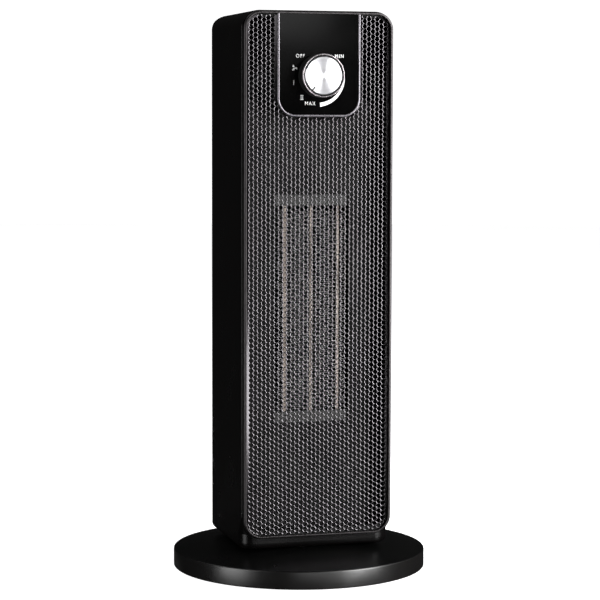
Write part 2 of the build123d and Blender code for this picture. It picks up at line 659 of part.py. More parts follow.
def motor_stator():
    z0, z1 = STATOR_Z
    core = box(-21, 46, BLOWER_Y - 21, BLOWER_Y + 21, z0, z1)
    core -= post(ROTOR_R + 0.6, z0 - 1, z1 + 1, 0, BLOWER_Y)
    core -= box(22, 35, BLOWER_Y - 12, BLOWER_Y + 12, z0 - 1, z1 + 1)
    for x in (-MOTOR_SCREW_X, MOTOR_SCREW_X):
        core -= post(1.6, z0 - 1, z1 + 1, x, BLOWER_Y)
    return core


def motor_coil():
    z0, z1 = STATOR_Z
    coil = box(25, 56, BLOWER_Y - 11.8, BLOWER_Y + 11.8, z0 - 10, z1 + 10)
    coil = fillet(coil.edges().filter_by(Axis.Y), 5)
    return coil - box(35, 46, BLOWER_Y - 13, BLOWER_Y + 13, z0, z1)


def motor_rotor():
    z0, z1 = STATOR_Z
    rotor = post(ROTOR_R, z0 - 1, z1 + 1, 0, BLOWER_Y)
    return rotor - post(SHAFT_R, z0 - 2, z1 + 2, 0, BLOWER_Y)


def bearing_bracket(z_core, up):
    """Pressed strip across the rotor with a bearing boss; up is 1 above the core, -1 below it."""
    z_far = z_core + up * 6
    strip = box(-22, 22, BLOWER_Y - 7, BLOWER_Y + 7, *sorted((z_far, z_far - up * 2)))
    for x in (-MOTOR_SCREW_X, MOTOR_SCREW_X):
        strip += post(3.2, *sorted((z_core, z_far)), x, BLOWER_Y)
    strip += post(6.5, *sorted((z_far, z_far + up * 5)), 0, BLOWER_Y)
    for x in (-MOTOR_SCREW_X, MOTOR_SCREW_X):
        strip -= post(1.6, *sorted((z_core - up, z_far + up)), x, BLOWER_Y)
    return strip - post(SHAFT_R + RUN_GAP, *sorted((z_core, z_far + up * 6)), 0, BLOWER_Y)


def motor_screws():
    z0 = STATOR_Z[0] - 6
    z1 = DUCT_Z[0]
    screws = []
    for x in (-MOTOR_SCREW_X, MOTOR_SCREW_X):
        screws.append(post(1.6, z0, z1, x, BLOWER_Y) + post(3.0, z0 - 2, z0, x, BLOWER_Y))
    return screws


def motor_spacers():
    z0, z1 = STATOR_Z[1] + 6, DUCT_Z[0] - 2
    return [ring(3.4, 1.6, z0, z1, x, BLOWER_Y) for x in (-MOTOR_SCREW_X, MOTOR_SCREW_X)]


def top_bearing():
    return ring(5.0, SHAFT_R + RUN_GAP, DUCT_Z[1], DUCT_Z[1] + 6, 0, BLOWER_Y)


def top_bearing_rubber():
    rubber = ring(8.0, 5.0, DUCT_Z[1], DUCT_Z[1] + 2, 0, BLOWER_Y)
    return rubber + ring(9.5, 5.0, DUCT_Z[1] + 2, DUCT_Z[1] + 5, 0, BLOWER_Y)


# ------------------------------------------------------------------ rear switch

def rocker_housing():
    body = box(-6.5, 6.5, 46, BACK_Y, ROCKER_Z - 9.5, ROCKER_Z + 9.5)
    body += box(-8, 8, BACK_Y, BACK_Y + 1.2, ROCKER_Z - 11, ROCKER_Z + 11)
    body -= box(-5, 5, 52, BACK_Y + 2, ROCKER_Z - 8.4, ROCKER_Z + 8.4)
    body += [box(x - 0.4, x + 0.4, 39, 46, ROCKER_Z + dz - 2.4, ROCKER_Z + dz + 2.4)
             for x, dz in ((0, -5), (0, 5))]
    return body


def oscillation_rocker():
    outline = make_face(Polyline((60.5, -5.0), (64.0, -7.4), (67.0, -7.0), (65.8, 0.0), (67.0, 7.0),
                                 (64.0, 7.4), (60.5, 5.0), (57.5, 0.0), close=True))
    rocker = extrude(Plane.YZ.offset(-4.8) * outline, amount=9.6)
    turned = Pos(0, ROCKER_AXIS_Y, ROCKER_Z) * Rot(ROCKER_TILT, 0, 0) * Pos(0, -ROCKER_AXIS_Y, 0)
    return turned * rocker


# ------------------------------------------------------------------ wiring

def foot_wiring():
    return wire([(0, 80, 10), (0, 0, 10), (0, 0, POST_TOP)], 2.6, 10)


def supply_wiring():
    return wire([(0, 0, POST_TOP), (0, 0, 76), (-60, -18, 84), (-60, -18, 440), (-58, -42, KNOB_Z),
                 (-19, -42, KNOB_Z)], 2.6, 7)


def heater_wiring():
    top = DUCT_Z[1] + 12
    low = KNOB_Z - 12.4
    leads = []
    for x_pin, x_strip in zip((-12, -4, 4), STRIP_X):
        leads.append(wire([(x_pin, -26, low), (x_pin, -26, low - 28), (x_strip, -33, top + 22),
                           (x_strip, -33, top)], 1.1, 6))
    return leads


def motor_wiring():
    low = KNOB_Z - 12.4
    fan = wire([(12, -25.5, low), (12, -25.5, low - 14), (60, -20, low - 34), (60, -20, 160),
                (50, 16, 156), (50, 16, STATOR_Z[1] + 10)], 1.1, 7)
    osc = wire([(12, -28.5, low), (12, -28.5, low - 18), (64, -22, low - 38), (64, -22, 57),
                (5, -22, 57), (5, OSC_Y - 28, 57)], 1.1, 7)
    return [fan, osc]


PARTS = {
    "foot_cover": foot_cover(),
    "foot_plate": foot_plate(),
    "foot_screws": foot_screws(),
    "rubber_feet": rubber_feet(),
    "cord_gland": cord_gland(),
    "pivot_post": pivot_post(),
    "thrust_washer": ring(44, 30, DOME_TOP, LOW_Z),
    "ring_gear": ring_gear(),
    "retaining_ring": retaining_ring(),
    "tip_switch": tip_switch(),
    "tip_plunger": tip_plunger(),
    "foot_terminal_block": foot_terminal_block(),
    "foot_wiring": foot_wiring(),
    "main_casing": main_casing(),
    "rear_cover": rear_cover(),
    "cover_screws": cover_screws(),
    "tower_floor": tower_floor(),
    "oscillation_motor": oscillation_motor(),
    "oscillation_screws": oscillation_screws(),
    "oscillation_pinion": oscillation_pinion(),
    "bezel_trim": bezel_trim(),
    "front_frame": front_frame(),
    "front_grille": front_grille(),
    "control_panel": control_panel(),
    "panel_trim": panel_trim(),
    "knob_body": knob_body(),
    "knob_face": knob_face(),
    "selector_shaft": selector_shaft(),
    "selector_switch": selector_switch(),
    "fin_banks": fin_banks(),
    "heating_strips": heating_strips(),
    "element_frame_low": element_frame(DUCT_Z[0], ELEMENT_Z[0]),
    "element_frame_top": element_frame(ELEMENT_Z[1], DUCT_Z[1]),
    "element_terminals": element_terminals(),
    "element_duct": element_duct(),
    "air_baffle": air_baffle(),
    "thermal_cutout": thermal_cutout(),
    "thermal_fuse": thermal_fuse(),
    "blower_scroll": blower_scroll(),
    "blower_tongue": blower_tongue(),
    "blower_plate_low": end_plate(DUCT_Z[0] - 2, DUCT_Z[0], 7.5),
    "blower_plate_top": end_plate(DUCT_Z[1], DUCT_Z[1] + 2, 8.0),
    "impeller_wheel": impeller_wheel(),
    "impeller_shaft": impeller_shaft(),
    "motor_stator": motor_stator(),
    "motor_coil": motor_coil(),
    "motor_rotor": motor_rotor(),
    "motor_bracket_low": bearing_bracket(STATOR_Z[0], -1),
    "motor_bracket_top": bearing_bracket(STATOR_Z[1], 1),
    "motor_screws": motor_screws(),
    "motor_spacers": motor_spacers(),
    "top_bearing": top_bearing(),
    "top_bearing_rubber": top_bearing_rubber(),
    "rocker_housing": rocker_housing(),
    "oscillation_rocker": oscillation_rocker(),
    "supply_wiring": supply_wiring(),
    "heater_wiring": heater_wiring(),
    "motor_wiring": motor_wiring(),
}

os.makedirs("parts", exist_ok=True)
for name, shape in PARTS.items():
    if isinstance(shape, list):
        shape = Compound(children=shape) if len(shape) > 1 else shape[0]
    export_step(shape, f"parts/{name}.step")
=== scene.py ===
import json
import math
import bmesh
import bpy
from mathutils import Matrix, Vector


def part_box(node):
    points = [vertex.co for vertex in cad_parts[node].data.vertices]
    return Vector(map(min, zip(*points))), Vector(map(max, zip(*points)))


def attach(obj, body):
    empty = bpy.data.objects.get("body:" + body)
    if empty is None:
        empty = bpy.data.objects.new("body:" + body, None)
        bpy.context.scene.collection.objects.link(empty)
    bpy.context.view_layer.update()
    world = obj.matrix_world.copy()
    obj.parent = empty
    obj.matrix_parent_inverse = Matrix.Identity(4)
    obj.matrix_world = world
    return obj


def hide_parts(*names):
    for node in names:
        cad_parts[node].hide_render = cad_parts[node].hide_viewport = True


# Looks of a tower fan heater on a round foot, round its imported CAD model. Front towards -Y, +Z up.
# The scene is in metres; lengths that belong to the object are written in millimetres times MM.

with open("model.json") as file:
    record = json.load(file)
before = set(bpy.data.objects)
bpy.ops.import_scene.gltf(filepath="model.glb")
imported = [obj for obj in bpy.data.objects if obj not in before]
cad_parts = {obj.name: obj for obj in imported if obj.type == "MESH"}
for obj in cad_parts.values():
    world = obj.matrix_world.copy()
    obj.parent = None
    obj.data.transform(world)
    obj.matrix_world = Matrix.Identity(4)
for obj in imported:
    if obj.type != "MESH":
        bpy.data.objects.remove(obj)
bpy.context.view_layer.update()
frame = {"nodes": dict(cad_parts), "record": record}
NODES = frame["nodes"]
MM = 0.001


# ------------------------------------------------------------------ mesh helpers

def mesh_object(name, points, faces, smooth_below=None):
    """Mesh from points and faces; edges that turn less than smooth_below degrees are shaded smooth."""
    mesh = bpy.data.meshes.new(name)
    mesh.from_pydata(points, [], faces)
    bm = bmesh.new()
    bm.from_mesh(mesh)
    bmesh.ops.recalc_face_normals(bm, faces=bm.faces)
    bm.to_mesh(mesh)
    bm.free()
    if smooth_below:
        mesh.polygons.foreach_set("use_smooth", [True] * len(mesh.polygons))
        mesh.set_sharp_from_angle(angle=math.radians(smooth_below))
    piece = bpy.data.objects.new(name, mesh)
    bpy.context.scene.collection.objects.link(piece)
    return piece


def loft(loops, closed_path=False, caps=False):
    """Points and faces of a skin through closed loops that have the same number of points each."""
    count = len(loops[0])
    points = [p for loop in loops for p in loop]
    last = len(loops) if closed_path else len(loops) - 1
    faces = []
    for i in range(last):
        a, b = i * count, (i + 1) % len(loops) * count
        for k in range(count):
            n = (k + 1) % count
            faces.append((a + k, a + n, b + n, b + k))
    if caps:
        faces.append(tuple(range(count)))
        faces.append(tuple(range((len(loops) - 1) * count, len(loops) * count)))
    return points, faces


def lathe(name, profile, segments, place, smooth_below):
    """Closed profile of (radius, height) turned about an axis; place maps (x, y, height) to the part."""
    loops = []
    for i in range(segments):
        a = 2 * math.pi * i / segments
        loops.append([place(r * math.cos(a), r * math.sin(a), h) for r, h in profile])
    return mesh_object(name, *loft(loops, closed_path=True), smooth_below)


def arc(cx, cy, radius, start, end, steps):
    """Points along a circular arc, angles in degrees."""
    for i in range(steps + 1):
        a = math.radians(start + (end - start) * i / steps)
        yield cx + radius * math.cos(a), cy + radius * math.sin(a)


def rounded_outline(half_w, z0, z1, r_top, r_low, steps=10):
    """Rounded rectangle in the XZ plane as (x, z), anticlockwise seen from the front."""
    outline = list(arc(half_w - r_low, z0 + r_low, r_low, -90, 0, steps))
    outline += arc(half_w - r_top, z1 - r_top, r_top, 0, 90, steps)
    outline += arc(-half_w + r_top, z1 - r_top, r_top, 90, 180, steps)
    outline += arc(-half_w + r_low, z0 + r_low, r_low, 180, 270, steps)
    return outline


def box_mm(node):
    return [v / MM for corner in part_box(node) for v in corner]


# ------------------------------------------------------------------ materials

class Finish:
    """A Principled material with short calls for the nodes that shape its colour, roughness and grain."""

    def __init__(self, name):
        self.material = bpy.data.materials.new(name)
        self.material.use_nodes = True
        self.tree = self.material.node_tree
        self.shader = self.tree.nodes["Principled BSDF"]
        self.place = self.node("ShaderNodeTexCoord").outputs["Object"]

    def node(self, kind, **settings):
        made = self.tree.nodes.new(kind)
        for key, value in settings.items():
            setattr(made, key, value)
        return made

    def link(self, source, socket):
        self.tree.links.new(source, socket)

    def stretched(self, scale):
        mapping = self.node("ShaderNodeMapping")
        mapping.inputs["Scale"].default_value = scale
        self.link(self.place, mapping.inputs["Vector"])
        return mapping.outputs["Vector"]

    def noise(self, scale, detail=3.0, stretch=(1, 1, 1)):
        texture = self.node("ShaderNodeTexNoise")
        texture.inputs["Scale"].default_value = scale
        texture.inputs["Detail"].default_value = detail
        self.link(self.stretched(stretch), texture.inputs["Vector"])
        return texture.outputs["Fac"]

    def remap(self, source, low, high, from_low=0.3, from_high=0.7):
        spread = self.node("ShaderNodeMapRange")
        spread.inputs["From Min"].default_value = from_low
        spread.inputs["From Max"].default_value = from_high
        spread.inputs["To Min"].default_value = low
        spread.inputs["To Max"].default_value = high
        self.link(source, spread.inputs["Value"])
        return spread.outputs["Result"]

    def colour(self, source, colour, spread):
        tint = self.node("ShaderNodeVectorMath", operation="SCALE")
        tint.inputs[0].default_value = colour
        self.link(self.remap(source, 1 - spread, 1 + spread), tint.inputs["Scale"])
        self.link(tint.outputs["Vector"], self.shader.inputs["Base Color"])

    def roughness(self, source, middle, spread):
        low = middle * (1 - spread)
        high = min(1.0, middle * (1 + spread))
        self.link(self.remap(source, low, high), self.shader.inputs["Roughness"])

    def bump(self, source, strength, depth):
        bump = self.node("ShaderNodeBump")
        bump.inputs["Strength"].default_value = strength
        bump.inputs["Distance"].default_value = depth
        self.link(source, bump.inputs["Height"])
        self.link(bump.outputs["Normal"], self.shader.inputs["Normal"])

    def set(self, **values):
        for key, value in values.items():
            self.shader.inputs[key.replace("_", " ")].default_value = value


def moulded(name, colour, rough, grain=1800.0, depth=0.06, mottle=0.1, specular=0.5):
    """Moulded plastic: spark-eroded grain, and a faint cloudiness where the melt cooled."""
    f = Finish(name)
    cloud = f.noise(28.0, 4.0)
    f.colour(cloud, colour, mottle)
    f.roughness(cloud, rough, 0.12)
    f.bump(f.noise(grain, 2.0), depth, 0.3 * MM)
    f.set(Specular_IOR_Level=specular)
    return f.material


def metal(name, colour, rough, stretch=(1, 1, 1), grain=900.0, depth=0.05, streak=0.12):
    """Rolled or brushed metal: streaks along the short axis of the stretch."""
    f = Finish(name)
    streaks = f.noise(grain, 3.0, stretch)
    f.colour(streaks, colour, streak)
    f.roughness(streaks, rough, 0.25)
    f.bump(streaks, depth, 0.1 * MM)
    f.set(Metallic=1.0)
    return f.material


def layered(name, colour, rough, pitch, axis, metallic):
    """Stacked plates or wound wire: bands of one pitch across an axis."""
    f = Finish(name)
    wave = f.node("ShaderNodeTexWave", bands_direction=axis)
    wave.inputs["Scale"].default_value = math.pi / (10 * pitch)
    wave.inputs["Distortion"].default_value = 0.4
    f.link(f.place, wave.inputs["Vector"])
    f.colour(wave.outputs["Fac"], colour, 0.35)
    f.roughness(f.noise(300.0), rough, 0.2)
    f.bump(wave.outputs["Fac"], 0.5, 0.2 * MM)
    f.set(Metallic=metallic)
    return f.material


def spun(name, colour, rough, centre):
    """Face-turned aluminium: fine concentric grooves round the axis through centre."""
    f = Finish(name)
    shift = f.node("ShaderNodeMapping")
    shift.inputs["Location"].default_value = (-centre[0], -centre[1], -centre[2])
    shift.inputs["Scale"].default_value = (1, 0, 1)
    f.link(f.place, shift.inputs["Vector"])
    radius = f.node("ShaderNodeVectorMath", operation="LENGTH")
    f.link(shift.outputs["Vector"], radius.inputs[0])
    groove = f.node("ShaderNodeTexNoise", noise_dimensions="1D")
    groove.inputs["Scale"].default_value = 4000.0
    groove.inputs["Detail"].default_value = 2.0
    f.link(radius.outputs["Value"], groove.inputs["W"])
    f.colour(groove.outputs["Fac"], colour, 0.04)
    f.roughness(groove.outputs["Fac"], rough, 0.15)
    tangent = f.node("ShaderNodeTangent", direction_type="RADIAL", axis="Y")
    f.link(tangent.outputs["Tangent"], f.shader.inputs["Tangent"])
    f.set(Metallic=1.0, Anisotropic=0.85, Anisotropic_Rotation=0.25)
    return f.material


def paint(name, colour):
    """Screen-printed ink."""
    f = Finish(name)
    speckle = f.noise(2500.0, 2.0)
    f.colour(speckle, colour, 0.06)
    f.roughness(speckle, 0.55, 0.1)
    return f.material


def studio_paper(name, value, glow):
    """Even white paper, slightly self-lit so that it photographs as a clear white."""
    f = Finish(name)
    fibre = f.noise(6.0, 3.0)
    f.colour(fibre, (value, value, value), 0.01)
    f.roughness(fibre, 0.9, 0.05)
    f.set(Emission_Color=(1, 1, 1, 1), Emission_Strength=glow, Specular_IOR_Level=0.0)
    return f.material


KNOB_CENTRE = [(a + b) / 2 for a, b in zip(*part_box("knob_face"))]

FINISHES = {
    "gloss_black": moulded("gloss_black", (0.0003, 0.0003, 0.0003), 0.105, grain=60.0, depth=0.01),
    "satin_black": moulded("satin_black", (0.0016, 0.0014, 0.0014), 0.25, specular=0.18),
    "frame_black": moulded("frame_black", (0.002, 0.002, 0.002), 0.7, specular=0.2),
    "bezel_grey": metal("bezel_grey", (0.045, 0.042, 0.043), 0.36, grain=500.0),
    "grille_black": metal("grille_black", (0.125, 0.118, 0.125), 0.1, depth=0.02),
    "rim_silver": metal("rim_silver", (0.17, 0.16, 0.175), 0.3),
    "knob_silver": metal("knob_silver", (0.3, 0.28, 0.29), 0.22),
    "spun_aluminium": spun("spun_aluminium", (0.76, 0.76, 0.785), 0.34, KNOB_CENTRE),
    "steel": metal("steel", (0.45, 0.45, 0.47), 0.3, (1, 1, 0.1)),
    "sheet_steel": metal("sheet_steel", (0.35, 0.36, 0.38), 0.4, (0.1, 1, 1), 60.0, 0.1, 0.3),
    "lamination": layered("lamination", (0.16, 0.16, 0.17), 0.5, 0.5 * MM, "Z", 0.9),
    "winding": layered("winding", (0.45, 0.15, 0.06), 0.35, 0.4 * MM, "Z", 0.7),
    "fin_aluminium": metal("fin_aluminium", (0.42, 0.4, 0.4), 0.34, (1, 0.2, 1), 700.0),
    "strip_aluminium": metal("strip_aluminium", (0.25, 0.215, 0.19), 0.34, (1, 1, 0.05), 500.0, 0.1, 0.3),
    "element_plastic": moulded("element_plastic", (0.02, 0.02, 0.019), 0.5),
    "nylon": moulded("nylon", (0.55, 0.54, 0.49), 0.45),
    "rubber_black": moulded("rubber_black", (0.01, 0.01, 0.01), 0.75, grain=700.0, depth=0.2),
    "insulation": moulded("insulation", (0.025, 0.025, 0.026), 0.45, grain=300.0),
    "brass": metal("brass", (0.65, 0.45, 0.18), 0.3),
    "wheel_aluminium": metal("wheel_aluminium", (0.3, 0.3, 0.31), 0.45, (1, 1, 0.1)),
}
FOOT_TOP = moulded("foot_top_satin", (0.0012, 0.0012, 0.0012), 0.3, depth=0.02, specular=0.3)
RIM_SATIN = moulded("foot_rim_satin", (0.003, 0.0027, 0.0026), 0.3, depth=0.02, specular=0.6)
# Near-black finish for the heating element's steel duct: painted shade for the dark inside of the casing
# seen through the mesh holes.
DUCT_PAINTED_SHADE = metal("duct_painted_shade", (0.01, 0.01, 0.01), 0.6)
PRINT_WHITE = paint("print_white", (0.85, 0.85, 0.85))


def dress_cad_nodes():
    for row in frame["record"]["subparts"]:
        slots = NODES[row["node"]].data.materials
        slots.clear()
        # The element duct takes the near-black painted shade finish instead of its steel slot.
        slots.append(DUCT_PAINTED_SHADE if row["node"] == "element_duct" else FINISHES[row["material_slot"]])


def place_piece(piece, body, slot, material, *replaced):
    piece.data.materials.append(material)
    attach(piece, body)
    if replaced:
        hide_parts(*replaced)


# ------------------------------------------------------------------ front mesh

MESH_PITCH = 4.8
MESH_HOLE = 3.95
MESH_ROUND = 0.36
MESH_ROUND_STEPS = 2
MESH_BORDER = 0.4
MESH_GAP = 0.9
# Width in mm of the painted shade band along the mesh's outline.
MESH_PAINTED_SHADE_EDGE = 0.5
MESH_FIRST_ROW = 1.6
MESH_SMALLEST_CELL = 1.0
MESH_SMALLEST_HOLE = 1.2
TRIM_W = 2.4
TRIM_TOP_ROUND = 16.8
TRIM_LOW_ROUND = 18.0
RIM_W = 2.0
RIM_ROUND = 17.5
RIM_CLEARANCE = 0.2


def rectangle_distance(x, z, half_w, z0, z1, r_top, r_low):
    """Signed distance to a rounded rectangle, positive outside."""
    middle = (z0 + z1) / 2
    r = r_top if z > middle else r_low
    qx = abs(x) - half_w + r
    qz = abs(z - middle) - (z1 - z0) / 2 + r
    return min(max(qx, qz), 0) + math.hypot(max(qx, 0), max(qz, 0)) - r


class MeshOutline:
    """Plan of the front mesh: a rounded rectangle with a window for the control panel."""

    def __init__(self):
        x0, _, z0, x1, _, z1 = box_mm("front_grille")
        px0, _, pz0, px1, _, _ = box_mm("panel_trim")
        round_low = TRIM_LOW_ROUND - TRIM_W - MESH_GAP
        round_top = TRIM_TOP_ROUND - TRIM_W - MESH_GAP
        self.span = (x0, x1, z0, z1)
        self.outer = ((x1 - x0) / 2, z0, z1, round_top, round_low)
        window_top, window_top_round = z1 + 60, 1
        self.window = ((px1 - px0) / 2 + RIM_CLEARANCE, pz0 - RIM_CLEARANCE, window_top,
                       window_top_round, RIM_ROUND + RIM_CLEARANCE)

    def distance(self, x, z):
        return max(rectangle_distance(x, z, *self.outer), -rectangle_distance(x, z, *self.window))

    def held(self, x, z, margin):
        """The point itself, or the nearest one that keeps the margin from the edge."""
        for _ in range(3):
            d = self.distance(x, z) + margin
            if d <= 1e-4:
                break
            h = 0.01
            gx = self.distance(x + h, z) - self.distance(x - h, z)
            gz = self.distance(x, z + h) - self.distance(x, z - h)
            size = math.hypot(gx, gz) or 1.0
            x, z = x - d * gx / size, z - d * gz / size
        return x, z


def polygon_area(loop):
    pairs = zip(loop, loop[1:] + loop[:1])
    return sum(x0 * z1 - x1 * z0 for (x0, z0), (x1, z1) in pairs) / 2


def hexagon(cx, cz, flat):
    r = flat / math.sqrt(3)
    return [(cx + r * math.cos(math.pi * k / 3), cz + r * math.sin(math.pi * k / 3)) for k in range(6)]


def front_mesh():
    """Hexagonal mesh: each cell is a rounded wire ring round its hole, cut to the outline at the edge."""
    outline = MeshOutline()
    _, y_front, _, _, y_back, _ = box_mm("front_grille")
    x0, x1, z0, z1 = outline.span
    step_x = MESH_PITCH * math.sqrt(3) / 2
    points, faces, shared = [], [], {}

    def corner(x, z, y):
        key = (round(x, 2), round(z, 2), y)
        if key not in shared:
            shared[key] = len(points)
            points.append((x * MM, y * MM, z * MM))
        return shared[key]

    def own_loop(loop, y):
        points.extend((x * MM, y * MM, z * MM) for x, z in loop)
        return list(range(len(points) - 6, len(points)))

    def bridge(a, b):
        for k in range(6):
            n = (k + 1) % 6
            face = [a[k], a[n], b[n], b[k]]
            face = [v for i, v in enumerate(face) if v != face[i - 1]]
            if len(face) > 2:
                faces.append(face)

    columns = int(x1 / step_x) + 1
    rows = int((z1 - z0) / MESH_PITCH) + 2
    for col in range(-columns, columns + 1):
        for row in range(-1, rows):
            cx = col * step_x
            cz = z0 + MESH_FIRST_ROW + (row + (0.5 if col % 2 else 0.0)) * MESH_PITCH
            rim = hexagon(cx, cz, MESH_PITCH)
            if min(outline.distance(x, z) for x, z in rim) > -0.3:
                continue
            rim = [outline.held(x, z, 0.0) for x, z in rim]
            if polygon_area(rim) < MESH_SMALLEST_CELL:
                continue
            front = [corner(x, z, y_front) for x, z in rim]
            back = [corner(x, z, y_back) for x, z in rim]
            hole = [outline.held(x, z, MESH_BORDER + MESH_ROUND) for x, z in hexagon(cx, cz, MESH_HOLE)]
            if outline.distance(cx, cz) > -MESH_BORDER or polygon_area(hole) < MESH_SMALLEST_HOLE:
                faces.append([v for i, v in enumerate(front) if v != front[i - 1]])
                faces.append([v for i, v in enumerate(back) if v != back[i - 1]])
                continue
            previous = front
            for i in range(MESH_ROUND_STEPS + 1):
                turn = math.pi / 2 * i / MESH_ROUND_STEPS
                grow = MESH_ROUND * (1 - math.sin(turn))
                ring = [outline.held(x, z, MESH_BORDER + MESH_ROUND - grow)
                        for x, z in hexagon(cx, cz, MESH_HOLE + 2 * grow)]
                level = own_loop(ring, y_front + MESH_ROUND * (1 - math.cos(turn)))
                bridge(previous, level)
                previous = level
            level = own_loop(hole, y_back)
            bridge(previous, level)
            bridge(level, back)
    piece = mesh_object("front_mesh", points, faces)
    bm = bmesh.new()
    bm.from_mesh(piece.data)
    bmesh.ops.remove_doubles(bm, verts=bm.verts, dist=0.02 * MM)
    close_edge(bm, y_front * MM, y_back * MM)
    bmesh.ops.recalc_face_normals(bm, faces=bm.faces)
    bm.to_mesh(piece.data)
    bm.free()
    piece.data.polygons.foreach_set("use_smooth", [True] * len(piece.data.polygons))
    piece.data.set_sharp_from_angle(angle=math.radians(50))
    place_piece(piece, "tower", "grille_black", FINISHES["grille_black"], "front_grille")
    # Faces near the outline take the black frame finish: painted shade along the gap where the mesh meets
    # the bezel and the panel rim.
    piece.data.materials.append(FINISHES["frame_black"])
    for face in piece.data.polygons:
        if outline.distance(face.center.x / MM, face.center.z / MM) > -MESH_PAINTED_SHADE_EDGE:
            face.material_index = 1


def close_edge(bm, y_front, y_back):
    """Side faces between the open front edge and the open back edge straight behind it."""
    def key(v):
        return round(v.co.x, 5), round(v.co.z, 5)

    open_edges = [e for e in bm.edges if e.is_boundary]
    behind = {key(v): v for e in open_edges for v in e.verts if abs(v.co.y - y_back) < 1e-5}
    for edge in open_edges:
        a, b = edge.verts
        if abs(a.co.y - y_front) < 1e-5 and abs(b.co.y - y_front) < 1e-5:
            if key(a) in behind and key(b) in behind:
                bm.faces.new((a, b, behind[key(b)], behind[key(a)]))


# ------------------------------------------------------------------ trims

def trim_profile(width, y_front, y_back, outer_round, inner_round, steps=5):
    """Section of a trim as (distance in from its outer edge, y), rounded at both front corners."""
    profile = [(0.0, y_back)]
    profile += arc(outer_round, y_front + outer_round, outer_round, 180, 270, steps)
    profile += arc(width - inner_round, y_front + inner_round, inner_round, 270, 360, steps)
    profile.append((width, y_back))
    return profile


def bezel():
    x0, y0, z0, x1, y1, z1 = box_mm("bezel_trim")
    loops = []
    for inset, y in trim_profile(TRIM_W, y0, y1, 1.5, 0.25):
        plan = rounded_outline((x1 - x0) / 2 - inset, z0 + inset, z1 - inset,
                               TRIM_TOP_ROUND - inset, TRIM_LOW_ROUND - inset, 16)
        loops.append([(x * MM, y * MM, z * MM) for x, z in plan])
    piece = mesh_object("bezel", *loft(loops, closed_path=True), smooth_below=40)
    place_piece(piece, "tower", "bezel_grey", FINISHES["bezel_grey"], "bezel_trim")


def panel_rim():
    """U-shaped rim round the control panel, its two ends running up under the bezel."""
    x0, y0, z0, x1, y1, z1 = box_mm("panel_trim")
    half = (x1 - x0) / 2
    loops = []
    for inset, y in trim_profile(RIM_W, y0, y1, 0.7, 0.6):
        r, w = RIM_ROUND - inset, half - inset
        path = [(-w, z1)]
        path += arc(-w + r, z0 + inset + r, r, 180, 270, 14)
        path += arc(w - r, z0 + inset + r, r, 270, 360, 14)
        path.append((w, z1))
        loops.append([(x * MM, y * MM, z * MM) for x, z in path])
    sections = [list(section) for section in zip(*loops)]
    piece = mesh_object("panel_rim", *loft(sections, caps=True), smooth_below=40)
    place_piece(piece, "tower", "rim_silver", FINISHES["rim_silver"], "panel_trim")


# ------------------------------------------------------------------ foot

def foot_shell():
    """Gloss cover of the foot, slightly domed, over a satin vertical rim."""
    x0, _, z0, x1, _, z1 = box_mm("foot_cover")
    radius, rim_round, shell = (x1 - x0) / 2, 1.5, 2.5
    rim_top, flat_r, bore = 18.6, 54.0, 15.0
    edge_r = radius - rim_round

    def dome(r):
        rise = (z1 - rim_top) / (edge_r ** 2 - flat_r ** 2)
        return rim_top + rise * (edge_r ** 2 - r ** 2)

    steps = 24
    radii = [flat_r + (edge_r - flat_r) * i / steps for i in range(steps + 1)]
    top = [(bore, z1)] + [(r, dome(r)) for r in radii[:-1]]
    rim = list(arc(edge_r, rim_top - rim_round, rim_round, 90, 0, 8))
    rim += arc(radius - 1, z0 + 1, 1.0, 0, -90, 5)
    inside = [(radius - shell, z0), (radius - shell, rim_top - shell - 0.4)]
    inside += [(r, dome(r) - shell) for r in reversed(radii[:-2])]
    inside += [(bore, z1 - shell)]
    profile = top + rim + inside

    def upright(x, y, h):
        return x * MM, y * MM, h * MM

    piece = lathe("foot_shell", profile, 288, upright, 40)
    place_piece(piece, "base", "gloss_black", FOOT_TOP, "foot_cover")
    piece.data.materials.append(RIM_SATIN)
    for face in piece.data.polygons:
        if face.center.z < (rim_top - 0.35) * MM and face.normal.z < 0.8:
            face.material_index = 1


# ------------------------------------------------------------------ knob

KNOB_GROOVE = 1.4
KNOB_BORE = 3.0


def knob_place(x, y, h):
    """Knob coordinates: x to the right, y up, h out of the face."""
    cx, _, cz = KNOB_CENTRE
    return cx + x * MM, -h * MM, cz + y * MM


def knob():
    x0, y0, _, x1, y1, _ = box_mm("knob_body")
    face_x0, face_y0, _, face_x1, face_y1, _ = box_mm("knob_face")
    outer = (x1 - x0) / 2
    face_r = (face_x1 - face_x0) / 2
    groove_r = face_r + KNOB_GROOVE
    floor = -face_y1
    body = [(KNOB_BORE, floor), (groove_r, floor), (groove_r, -y0 - 0.25)]
    body += arc(groove_r + 0.3, -y0 - 0.3, 0.3, 180, 90, 3)
    body += arc(outer - 0.45, -y0 - 0.45, 0.45, 90, 0, 5)
    body += [(outer, -y1), (KNOB_BORE, -y1)]
    ring = lathe("knob_ring", body, 160, knob_place, 40)
    place_piece(ring, "knob", "knob_silver", FINISHES["knob_silver"], "knob_body")
    ring.data.materials.append(FINISHES["frame_black"])
    # The groove floor and wall take the black finish as painted shade in the recess. The black outer side
    # is the knob's own colour.
    for face in ring.data.polygons:
        flat = Vector((face.center.x - KNOB_CENTRE[0], 0, face.center.z - KNOB_CENTRE[2])).length
        if flat < (groove_r + 0.02) * MM or flat > (outer - 0.02) * MM:
            face.material_index = 1
    knob_disc(face_r, -face_y0, -face_y1)


